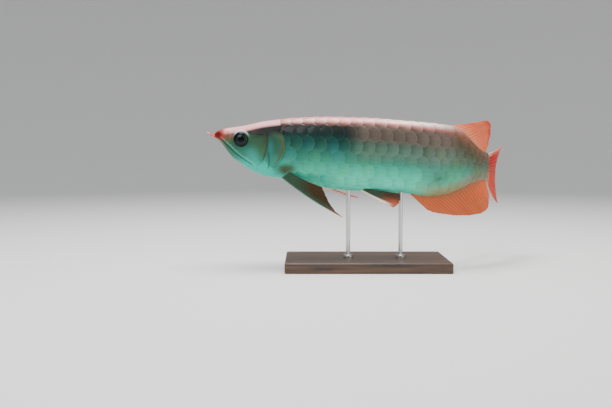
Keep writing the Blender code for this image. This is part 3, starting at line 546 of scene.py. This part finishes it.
draw = np.random.default_rng(7)
half = SCALE_ROWS / 2
points, tint, uv, faces = [], [], [], []
for i in range(SCALE_COLUMNS):
    for j in range(SCALE_ROWS):
        root = i + 0.5 * (j % 2)
        s = follow(COLUMN_AT, root + plate_u)
        round_at = (j + plate_v) % SCALE_ROWS
        hand = np.where(round_at <= half, 1.0, -1.0)
        f = np.where(round_at <= half, round_at, SCALE_ROWS - round_at) / half
        side, height = flank(s, f)
        # No plate lies on the head, and those next to it are tucked under its skin.
        behind, left, _ = near(s, height, HEAD_REAR)
        clear = np.where(left > 0, behind, -behind)
        if clear.max() < 4.5:
            continue
        tucked = 0.6 * (1 - ease(clear, -1.5, 2.5)) + 0.8 * (1 - ease(clear, -2.5, 0.3))
        lift = plate_lift * ease(clear, 0.5, 5.5) - tucked
        # Two rows carry the tube of the lateral line, and plates at the root of a fin lie flatter.
        canal = hump(b, 0.1) * ease(a, 0.2, 0.5) * (1 - ease(a, 0.7, 1)) * (j in LINE_ROWS)
        lift = lift + 0.2 * canal
        if j in FIN_ROWS and root > FIN_ROWS[j]:
            lift = lift * 0.35
        wide, high = flank(s, np.clip(f + 1e-3, 0, 1))
        thin, tall = flank(s, np.clip(f - 1e-3, 0, 1))
        out_side, out_up = -(high - tall), wide - thin
        size = np.hypot(out_side, out_up) + 1e-12
        out_side, out_up = out_side / size, out_up / size
        plate = []
        for drop in (0.0, SCALE_THICK):
            rise = lift - drop
            spot = place(s, hand * (side + out_side * rise), height + out_up * rise)
            plate.append(spot.reshape(-1, 3))
        plate[1] = plate[1][rim]
        # The markings, with painted shade over the root of each plate where the plate before lies over it,
        # a darker band just inside its free edge, a painted highlight on that edge, a pink painted
        # highlight on the edges of the top rows, and its own tone.
        base = markings(s, f, height, head=0)
        tone = draw.uniform(0.91, 1.08)
        sheen = draw.uniform(-0.08, 0.08)
        low_part = ease(f, 0.3, 0.55)
        base = dab(base, abs(sheen) * low_part, colour(110, 160, 84) if sheen > 0 else colour(70, 170, 196))
        # Painted shade over the root of each plate, under the edge of the plate before, strongest mid-flank
        # and weaker low down, with a darker band just inside the free edge.
        dark = 0.26 * hump(a - 0.80, 0.13) + (0.36 + 0.24 * hump(f - 0.46, 0.1)) * (1 - ease(a, 0.2, 0.75))
        shade = tone * (1 - dark * (0.95 - 0.45 * low_part))
        base = base * shade[..., None]
        # Painted highlight along the free edge of each plate, a little different on each, weaker low down
        # and on plates near the head.
        pale = draw.uniform(0.02, 0.10) * ease(a, 0.9, 0.97) * (1 - 0.5 * low_part) * ease(clear, 2, 7)
        base = dab(base, pale, base * 0.4 + colour(176, 206, 190) * 0.6)
        # Pink painted highlight on the free edges of the plates in the top rows, short of the tail.
        pink_edge_highlight = ease(a, 0.8, 0.97) * (1 - ease(f, 0.15, 0.21)) * (1 - ease(s, 230, 270))
        base = dab(base, 0.22 * pink_edge_highlight, colour(255, 214, 210))
        stripe = 1 + 0.05 * np.sin(b * 17 + i * 3 + j)
        base = base * stripe[..., None]
        start = len(points) * (DOWN * ACROSS + len(rim))
        points.append(np.concatenate(plate))
        base = base.reshape(-1, 3)
        tint.append(np.concatenate([base, base[rim]]))
        cell = np.stack([(root + 0.5 + 0.42 * (2 * a - 1)) / (SCALE_COLUMNS + 2),
                         (j + 0.5 + 0.42 * b) / SCALE_ROWS * 0.49], axis=-1).reshape(-1, 2)
        uv.append(np.concatenate([cell, cell[rim] + (0, 0.5)]))
        faces += [tuple(int(c) + start for c in face) for face in plate_faces]
scale_finish = living_finish("horny_scale", rough=0.38, metal=0.16, coat=0.15, dent=0.06, net=0.16)
scales = mesh_piece("scales", np.concatenate(points), faces, scale_finish, np.concatenate(tint),
                    np.concatenate(uv))
bpy.ops.object.select_all(action="DESELECT")
scales.select_set(True)
bpy.context.view_layer.objects.active = scales
bpy.ops.object.shade_smooth_by_angle(angle=math.radians(50))
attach(scales, "root")

# Dorsal, anal and tail fins: a thin web of skin stretched on fine, jointed, branching rays.
# The rays are bone under skin, rooted in the back, the belly and the end of the body.
# Each fin is one thin closed sheet, with its rays standing up on both of its faces.
RAY_THICK = (0.62, 0.26)
SKIN_THICK = (0.26, 0.14)
FIN_STEPS = 34


def web(name, lines, rays, material, paint, thick=RAY_THICK, wave=0.0, stout=0.0, cuff=0.05):
    """A fin on a grid of lines from root to edge, with branching rays raised on both faces."""
    # Rays stand at whole numbers of spot and fork towards the edge, which is worn between them.
    columns, steps = lines.shape[:2]
    u = np.linspace(0, 1, columns)[:, None]
    t = np.linspace(0, 1, steps)[None]
    spot = u * (rays - 1)
    split = 0.27 * ease(t, 0.4, 1.0)
    off = np.abs(spot - np.round(spot))
    fork = np.minimum(np.abs(off - split), np.abs(off + split))
    wide = 0.24 - 0.10 * t
    crest = np.sqrt(np.clip(1 - (fork / wide) ** 2, 0, 1))
    worn = 0.012 * np.sin(math.pi * off) ** 2 * ease(t, 0.75, 1)
    lines = lines[:, :1] + (lines - lines[:, :1]) * (1 - worn[:, :, None])
    # Half the thickness of web and rays, with a stout first ray and a cuff of skin at the root.
    half = SKIN_THICK[0] + (SKIN_THICK[1] - SKIN_THICK[0]) * t
    half = half + crest * (thick[0] + (thick[1] - thick[0]) * t - half)
    half = half * (1 + stout * (1 - ease(spot, 0.25, 0.7)))
    covered = 1 - ease(t, cuff * 0.5, cuff * 1.6)
    half = half * (1 - covered) + (thick[0] + 0.12) * covered
    normal = np.cross(np.gradient(lines, axis=0), np.gradient(lines, axis=1))
    normal /= np.linalg.norm(normal, axis=2)[:, :, None] + 1e-12
    ripple = wave * np.sin(spot * 1.3) * ease(t, 0.3, 1)
    middle = lines + normal * ripple[:, :, None]
    push = normal * half[:, :, None]
    points = np.concatenate([(middle + push).reshape(-1, 3), (middle - push).reshape(-1, 3)])
    number = np.arange(columns * steps).reshape(columns, steps)
    quads = grid_faces(number)
    other = columns * steps
    faces = [tuple(q) for q in quads] + [tuple(q[::-1] + other) for q in quads]
    rim = np.concatenate([number[:-1, 0], number[-1, :-1], number[:0:-1, -1], number[0, :0:-1]])
    for k, c in enumerate(rim):
        n = rim[(k + 1) % len(rim)]
        faces.append((n, c, c + other, n + other))
    tint = paint(u + 0 * t, t + 0 * u, crest).reshape(-1, 3)
    cell = np.stack([(u + 0 * t) * 0.46 + 0.02, (t + 0 * u) * 0.9 + 0.05], axis=-1).reshape(-1, 2)
    uv = np.concatenate([cell, cell + (0.5, 0)])
    piece = mesh_piece(name, points, faces, material, np.tile(tint, (2, 1)), uv)
    shape = bmesh.new()
    shape.from_mesh(piece.data)
    if shape.calc_volume(signed=True) < 0:
        bmesh.ops.reverse_faces(shape, faces=shape.faces)
    shape.to_mesh(piece.data)
    shape.free()
    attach(piece, "root")
    return piece


def spread(bases, tips, sag=(0, 0, 0)):
    """Lines from a row of base points to a row of edge points, bowed by sag."""
    t = np.linspace(0, 1, FIN_STEPS)[None, :, None]
    sag = np.asarray(sag, float)
    sag = sag[:, None] if sag.ndim == 2 else sag
    return bases[:, None] * (1 - t) + tips[:, None] * t + 4 * t * (1 - t) * sag


def along(points, shares):
    """Points at shares of the length of a line."""
    walk = np.concatenate([[0], np.cumsum(np.linalg.norm(np.diff(points, axis=0), axis=1))])
    return np.stack([np.interp(shares, walk / walk[-1], points[:, k]) for k in range(3)], axis=1)


fin_finish = living_finish("fin_web", rough=0.36, grain=1500, vary=0.08, joints=0.25, specular=0.04)
RAY_COLUMNS = 8
FIN_SUNK = 1.0

DORSAL_RAYS = 19
u = np.linspace(0, 1, (DORSAL_RAYS - 1) * RAY_COLUMNS + 1)
base_s = 280 + 66 * u
edge = place(np.array([350, 359, 368, 373, 370.5, 364, 358, 352.5]), 0,
             np.array([41.8, 41.6, 38.4, 33.5, 27, 18, 11.5, 6.0]))
lines = spread(place(base_s, 0, follow(BACK, base_s) - FIN_SUNK), along(edge, u))


def dorsal_paint(u, t, crest):
    paint = np.broadcast_to(colour(240, 122, 88), u.shape + (3,)).copy()
    paint = dab(paint, 0.7 * (1 - ease(t, 0.02, 0.4)), colour(232, 158, 118))
    paint = dab(paint, 0.8 * ease(t, 0.74, 1), colour(200, 34, 20))
    paint = dab(paint, 0.5 * (1 - ease(u, 0, 0.1)), colour(232, 92, 68))
    paint = dab(paint, 0.6 * ease(u, 0.72, 0.96) * (1 - ease(t, 0.3, 0.8)), colour(255, 132, 66))
    return dab(paint, 0.45 * (1 - crest), colour(196, 84, 52))


dorsal = web("dorsal_web", lines, DORSAL_RAYS, fin_finish, dorsal_paint, wave=0.5)
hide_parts("dorsal_fin")

ANAL_RAYS = 26
u = np.linspace(0, 1, (ANAL_RAYS - 1) * RAY_COLUMNS + 1)
base_s = 228.5 + 120 * u
edge = place(np.array([251, 258, 266, 286, 310, 337, 352, 362, 368.5, 368, 362, 356]), 0,
             np.array([-65, -67.8, -69.5, -72.4, -73.5, -72.7, -70.5, -67, -61.5, -55, -47, -39.5]))
lines = spread(place(base_s, 0, follow(BELLY, base_s) + FIN_SUNK), along(edge, u**0.9))


def anal_paint(u, t, crest):
    paint = np.broadcast_to(colour(202, 104, 66), u.shape + (3,)).copy()
    paint = dab(paint, ease(u, 0.45, 0.95), colour(244, 112, 62))
    paint = dab(paint, 0.85 * (1 - ease(t, 0.0, 0.35)), colour(142, 104, 74))
    paint = dab(paint, 0.6 * ease(t, 0.8, 1) * ease(u, 0.6, 1), colour(236, 56, 34))
    return dab(paint, 0.45 * (1 - crest), colour(150, 62, 30))


anal = web("anal_web", lines, ANAL_RAYS, fin_finish, anal_paint, wave=0.5)
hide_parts("anal_fin")

TAIL_RAYS = 16
TAIL_STEPS = 39
TAIL_SUNK = 0.6
ray_at = np.linspace(0, 1, (TAIL_RAYS - 1) * RAY_COLUMNS + 1)
back, belly = follow(BACK, BODY_LENGTH), follow(BELLY, BODY_LENGTH)
start = np.interp(BODY_LENGTH, SPINE_S, SPINE_TURN)
curl = np.radians(follow([(0, 50), (0.16, 63), (0.3, 68), (0.48, 74), (0.65, 75), (0.86, 70), (1, 63)],
                         ray_at))
rise = follow([(0, 11), (0.16, 9), (0.3, 6), (0.48, -3), (0.65, -12), (0.86, -25), (1, -31)], ray_at)
reach = follow([(0, 59), (0.16, 61), (0.3, 62), (0.48, 63), (0.65, 63), (0.86, 62), (1, 61)], ray_at)
run = np.sqrt(reach**2 - rise**2)
lines = [place(BODY_LENGTH - TAIL_SUNK, 0.0, back - TAIL_SUNK + (belly - back + 2 * TAIL_SUNK) * ray_at)]
# The upper edge of the fin curves in on its way back, and the lower edge curves out.
hollow = 0.95 * (1 - ease(ray_at, 0.0, 0.3)) - 0.5 * ease(ray_at, 0.7, 1.0)
for k in range(TAIL_STEPS):
    share = (k + 0.5) / TAIL_STEPS
    heading = start + (curl - start) * share
    climb = rise * (1 + hollow * (2 * share - 1))
    step = np.stack([np.cos(heading) * run, np.sin(heading) * run, climb], axis=-1) / TAIL_STEPS
    lines.append(lines[-1] + step)
lines = np.stack(lines, axis=1)


def tail_paint(u, t, crest):
    paint = np.broadcast_to(colour(222, 66, 36), u.shape + (3,)).copy()
    patch = hump((u - 0.34) / 0.26, 1) * ease(t, 0.06, 0.16) * (1 - ease(t, 0.75, 1))
    paint = dab(paint, 0.95 * patch, colour(196, 6, 2))
    paint = dab(paint, 0.7 * (1 - ease(t, 0.05, 0.13)), colour(226, 178, 146))
    paint = dab(paint, 0.6 * ease(u, 0.75, 1), colour(228, 84, 54))
    paint = dab(paint, 0.65 * (1 - ease(u, 0.02, 0.16)), colour(240, 152, 128))
    paint = dab(paint, 0.7 * (1 - ease(u, 0.05, 0.2)) * (1 - ease(t, 0.2, 0.45)), colour(250, 212, 188))
    return dab(paint, 0.4 * (1 - crest), colour(160, 22, 8))


tail_fin = web("tail_web", lines, TAIL_RAYS, fin_finish, tail_paint, thick=(0.7, 0.3))
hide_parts("caudal_fin")

# Pectoral and pelvic fins: paired fins of the same make on the chest and belly.
# The first ray of each is long, stout and stiff. The web behind it is thin, and grey-green to brown,
# with pale and red parts on the right pectoral fin and on both pelvic fins.
pale_finish = living_finish("clear_web", rough=0.36, grain=1500, vary=0.08, joints=0.25, specular=0.06)


def paired_paint(u, t, crest):
    paint = np.broadcast_to(colour(52, 78, 60), u.shape + (3,)).copy()
    paint = dab(paint, 0.95 * ease(t, 0.2, 0.75) * ease(u, 0.12, 0.55), colour(64, 40, 22))
    paint = dab(paint, 0.85 * (1 - ease(u, 0.02, 0.16)), colour(134, 162, 146))
    paint = dab(paint, 0.7 * ease(t, 0.75, 1) * (1 - ease(u, 0.1, 0.4)), colour(168, 84, 64))
    return dab(paint, 0.45 * (1 - crest), colour(30, 46, 34))


def far_paint(u, t, crest):
    paint = paired_paint(u, t, crest)
    paint = dab(paint, 0.6 * ease(t, 0.45, 0.95) * (1 - ease(u, 0.2, 0.75)), colour(196, 82, 54))
    return dab(paint, 0.95 * (1 - ease(u, 0.06, 0.24)) * (1 - ease(t, 0.7, 0.97)), colour(250, 226, 212))


def white_paint(u, t, crest):
    paint = dab(far_paint(u, t, crest), 0.75 * (1 - ease(u, 0.4, 0.8)), colour(236, 160, 146))
    paint = dab(paint, 0.95 * (1 - ease(u, 0.25, 0.6)) * (1 - ease(t, 0.7, 0.95)), colour(255, 210, 200))
    return dab(paint, 0.85 * (1 - ease(u, 0.3, 0.6)) * ease(t, 0.76, 0.95), colour(232, 104, 88))


# Roots and edges as length, side and height, from the first ray back.
PAIRED_COLUMNS = 10
pectoral_root = [(77.5, 4.0, -25.0), (86.5, 10.5, -19.0)]
left_edge = [(149.3, 40, -70.4), (141.5, 38, -64.3), (134.7, 35, -55.4), (130.2, 33, -46.4),
             (125.7, 30, -36.2)]
right_edge = [(172, 44, -53.0), (165, 38, -50.2), (155, 33, -46.9), (145, 28, -43.4),
              (132, 22, -38.8)]
pelvic_root = [(170.5, 2.5, -40.5), (180, 6.0, -39.0)]
pelvic_edge = [(209.2, 19, -60.6), (214.5, 19, -56.5), (216.8, 17, -51), (216.5, 13, -44.5)]
for name, node, hand, rays, root, edge, droop, stout, paint in (
    ("pectoral_web_left", "pectoral_fin_left", -1, 7, pectoral_root, left_edge, 3.0, 0.8, paired_paint),
    ("pectoral_web_right", "pectoral_fin_right", 1, 7, pectoral_root, right_edge, 1.2, 2.4, white_paint),
    ("pelvic_web_left", "pelvic_fin_left", -1, 6, pelvic_root, pelvic_edge, 1.0, 0.8, far_paint),
    ("pelvic_web_right", "pelvic_fin_right", 1, 6, pelvic_root, pelvic_edge, 1.0, 0.8, far_paint),
):
    u = np.linspace(0, 1, (rays - 1) * PAIRED_COLUMNS + 1)
    root, edge = np.array(root).T, np.array(edge).T
    bases = along(place(root[0], hand * root[1], root[2]), u)
    tips = along(place(edge[0], hand * edge[1], edge[2]), u)
    bases = bases - 0.05 * (tips - bases)
    lines = spread(bases, tips, np.outer(1 - 0.6 * u, (0, 0, -droop)))
    fin = web(name, lines, rays, pale_finish, paint, stout=stout, cuff=0.12)
    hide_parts(node)

# Eyes: large wet balls with a black pupil in a dark iris, set in the bone of the skull.
# They are flattened from side to side, as a fish's eyes are, and stand a little proud of the cheek.
EYE_RADIUS, EYE_HALF_DEPTH = 9.0, 5.0
eye_finish = living_finish("wet_eye", rough=0.22, coat=0.4, grain=400, dent=0.0, vary=0.05, specular=0.05)
eye_shader = eye_finish.node_tree.nodes["Principled BSDF"]
eye_shader.inputs["Coat Roughness"].default_value = 0.03
eye_shader.inputs["Coat IOR"].default_value = 1.34
for name, node, hand in (("eyeball_left", "eye_left", -1), ("eyeball_right", "eye_right", 1)):
    bpy.ops.object.select_all(action="DESELECT")
    bpy.ops.mesh.primitive_uv_sphere_add(segments=96, ring_count=64, radius=1)
    ball = bpy.context.object
    ball.name = name
    ball.rotation_euler = (math.radians(90), 0, 0)
    bpy.ops.object.transform_apply(location=False, rotation=True, scale=False)
    ball.scale = (EYE_RADIUS * MM, EYE_HALF_DEPTH * MM, EYE_RADIUS * MM)
    middle = place(EYE_AT[0], hand * EYE_AT[1], EYE_AT[2])
    ball.location = Vector(middle) * MM
    bpy.ops.object.transform_apply(location=True, rotation=False, scale=True)
    centre = middle * MM
    # Black pupil, dark iris with faint rings, and a green glint at its rear.
    spots = np.array([v.co for v in ball.data.vertices])
    ring = np.hypot(spots[:, 0] - centre[0], spots[:, 2] - centre[2]) / MM
    angle = np.arctan2(spots[:, 2] - centre[2], spots[:, 0] - centre[0])
    paint = np.broadcast_to(colour(5, 11, 12), (len(ring), 3)).copy()
    paint = dab(paint, 0.8 * hump(ring - 4.5, 0.6), colour(28, 46, 48))
    paint = dab(paint, 0.35 * hump(ring - 5.6, 0.8) * (0.6 + 0.4 * np.sin(angle * 9)), colour(34, 44, 36))
    paint = dab(paint, 0.7 * hump(ring - 7.2, 0.7) * ease(np.cos(angle), 0.3, 0.95), colour(58, 88, 46))
    paint = dab(paint, 1 - ease(ring, 3.4, 3.9), colour(2, 2, 4))
    paint_points(ball.data, paint)
    ball.data.materials.append(eye_finish)
    bpy.ops.object.shade_smooth()
    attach(ball, "root")
    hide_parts(node)

# Barbels: two soft feelers of skin that grow from the tip of the chin and curve up past the snout.
# They taper to a thin end, red at the root and pale at the tip.
FEELER_RINGS, FEELER_SIDES = 26, 16
for name, node, hand in (("feeler_left", "barbel_left", -1), ("feeler_right", "barbel_right", 1)):
    t = np.linspace(0, 1, FEELER_RINGS)
    path = place(follow([(0, 2.4), (0.22, 0), (0.46, -2.7), (0.72, -5.6), (1, -8.6)], t),
                 hand * follow([(0, 1.7), (0.46, 2.6), (1, 3.8)], t),
                 follow([(0, 20.0), (0.22, 21.6), (0.46, 23.6), (0.72, 25.2), (1, 26.7)], t))
    ahead = np.gradient(path, axis=0)
    ahead /= np.linalg.norm(ahead, axis=1)[:, None]
    across = np.cross(ahead, (0, 1.0, 0.2))
    across /= np.linalg.norm(across, axis=1)[:, None]
    third = np.cross(ahead, across)
    radius = (1.05 - 0.75 * t) * (1 + 0.03 * np.sin(t * 70))
    angle = np.linspace(0, 2 * math.pi, FEELER_SIDES, endpoint=False)
    rings = path[:, None] + radius[:, None, None] * (
        across[:, None] * np.cos(angle)[None, :, None] + third[:, None] * np.sin(angle)[None, :, None])
    number = np.arange(FEELER_RINGS * FEELER_SIDES).reshape(FEELER_RINGS, FEELER_SIDES)
    faces = [tuple(q) for q in grid_faces(number, closed=True)]
    faces += [tuple(number[0]), tuple(number[-1][::-1])]
    paint = dab(np.broadcast_to(colour(228, 78, 50), (FEELER_RINGS, 3)), ease(t, 0.6, 1.0),
                colour(232, 206, 190))
    paint = np.repeat(paint, FEELER_SIDES, axis=0)
    uv = np.stack([np.repeat(t, FEELER_SIDES) * 0.9 + 0.05,
                   np.tile(np.arange(FEELER_SIDES) / (FEELER_SIDES + 2) + 0.05, FEELER_RINGS)], axis=-1)
    feeler = mesh_piece(name, rings.reshape(-1, 3), faces, fin_finish, paint, uv)
    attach(feeler, "root")
    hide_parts(node)

# Stand: a plain base of dark stained hardwood and two brushed steel rods up to the belly.
# The rods are screwed into the base through turned collars.
wood = bpy.data.materials.new("dark_hardwood")
wood.use_nodes = True
nodes, links = wood.node_tree.nodes, wood.node_tree.links
shader = nodes["Principled BSDF"]
shader.inputs["Roughness"].default_value = 0.38
where = shader_node(nodes, "TexCoord", {})
stretch = shader_node(nodes, "Mapping", {"Scale": (6, 90, 90)})
grain = shader_node(nodes, "TexNoise", {"Scale": 2.2, "Detail": 8, "Distortion": 0.6})
ramp = shader_node(nodes, "ValToRGB", {})
ramp.color_ramp.elements[0].position = 0.3
ramp.color_ramp.elements[0].color = (0.022, 0.010, 0.006, 1)
ramp.color_ramp.elements[1].position = 0.72
ramp.color_ramp.elements[1].color = (0.115, 0.055, 0.028, 1)
dents = shader_node(nodes, "Bump", {"Strength": 0.15, "Distance": 0.0003})
links.new(where.outputs["Object"], stretch.inputs["Vector"])
links.new(stretch.outputs["Vector"], grain.inputs["Vector"])
links.new(grain.outputs["Fac"], ramp.inputs["Fac"])
links.new(ramp.outputs["Color"], shader.inputs["Base Color"])
links.new(grain.outputs["Fac"], dents.inputs["Height"])
links.new(dents.outputs["Normal"], shader.inputs["Normal"])

steel = bpy.data.materials.new("brushed_steel")
steel.use_nodes = True
nodes, links = steel.node_tree.nodes, steel.node_tree.links
shader = nodes["Principled BSDF"]
shader.inputs["Metallic"].default_value = 1.0
shader.inputs["Base Color"].default_value = (0.60, 0.60, 0.59, 1)
where = shader_node(nodes, "TexCoord", {})
stretch = shader_node(nodes, "Mapping", {"Scale": (120, 120, 3000)})
lines = shader_node(nodes, "TexNoise", {"Scale": 1.0})
rough = shader_node(nodes, "MapRange", {"To Min": 0.22, "To Max": 0.42})
links.new(where.outputs["Object"], stretch.inputs["Vector"])
links.new(stretch.outputs["Vector"], lines.inputs["Vector"])
links.new(lines.outputs["Fac"], rough.inputs["Value"])
links.new(rough.outputs["Result"], shader.inputs["Roughness"])

for name, material in (("stand_base", wood), ("stand_rod_front", steel), ("stand_rod_rear", steel)):
    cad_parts[name].data.materials.clear()
    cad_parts[name].data.materials.append(material)

# Floor, lights and camera: a round sheet of pale paper that curves up at its edge, as in a studio.
# Three soft lamps hang over it, and the camera looks at the fish from its left.
FLOOR_RADIUS, FLOOR_CURVE, FLOOR_STEPS = 1.7, 0.9, 12
bpy.ops.object.select_all(action="DESELECT")
bpy.ops.mesh.primitive_circle_add(vertices=96, radius=FLOOR_RADIUS, fill_type="NGON", location=(0, 0, 0))
floor = bpy.context.object
floor.name = "studio_floor"
bpy.ops.object.mode_set(mode="EDIT")
bpy.ops.mesh.select_all(action="SELECT")
for k in range(FLOOR_STEPS):
    now, then = (k + 1) / FLOOR_STEPS * math.pi / 2, k / FLOOR_STEPS * math.pi / 2
    wide = FLOOR_RADIUS + FLOOR_CURVE * math.sin(now)
    before = FLOOR_RADIUS + FLOOR_CURVE * math.sin(then)
    climb = FLOOR_CURVE * (math.cos(then) - math.cos(now))
    bpy.ops.mesh.select_mode(type="EDGE")
    if k == 0:
        bpy.ops.mesh.region_to_loop()
    bpy.ops.mesh.extrude_edges_move(TRANSFORM_OT_translate={"value": (0, 0, climb)})
    bpy.ops.transform.resize(value=(wide / before, wide / before, 1))
bpy.ops.object.mode_set(mode="OBJECT")
bpy.ops.object.shade_smooth_by_angle(angle=math.radians(40))
paper = bpy.data.materials.new("pale_paper")
paper.use_nodes = True
paper.node_tree.nodes["Principled BSDF"].inputs["Base Color"].default_value = (0.72, 0.72, 0.71, 1)
paper.node_tree.nodes["Principled BSDF"].inputs["Roughness"].default_value = 0.8
floor.data.materials.append(paper)

world = bpy.data.worlds.new("studio")
bpy.context.scene.world = world
world.use_nodes = True
world.node_tree.nodes["Background"].inputs["Color"].default_value = (0.80, 0.84, 0.86, 1)
world.node_tree.nodes["Background"].inputs["Strength"].default_value = 0.33
for name, at, size, power in (
    ("top_light", (-0.05, 0.05, 1.3), 0.8, 36),
    ("key_light", (-0.5, -1.0, 0.9), 0.7, 10.5),
    ("fill_light", (0.9, -0.8, 0.4), 0.8, 4),
):
    bpy.ops.object.light_add(type="AREA", location=at)
    lamp = bpy.context.object
    lamp.name = name
    lamp.data.size = size
    lamp.data.energy = power
    aim = Vector((0, 0, 0.12)) - Vector(at)
    lamp.rotation_euler = aim.to_track_quat("-Z", "Y").to_euler()

# The camera stands so far off, with such a lens, that one pixel of the picture is 1.18 mm at the fish.
PICTURE_WIDTH, PIXEL = 612, 0.00118
target = Vector((-0.0708, 0, 0.075))
tilt = math.radians(4)
bpy.ops.object.camera_add(location=target + Vector((0, -math.cos(tilt), math.sin(tilt))))
camera = bpy.context.object
camera.name = "camera"
camera.data.sensor_width = 36
camera.data.lens = camera.data.sensor_width / (PICTURE_WIDTH * PIXEL)
camera.rotation_euler = (math.pi / 2 - tilt, 0, 0)
bpy.context.scene.camera = camera
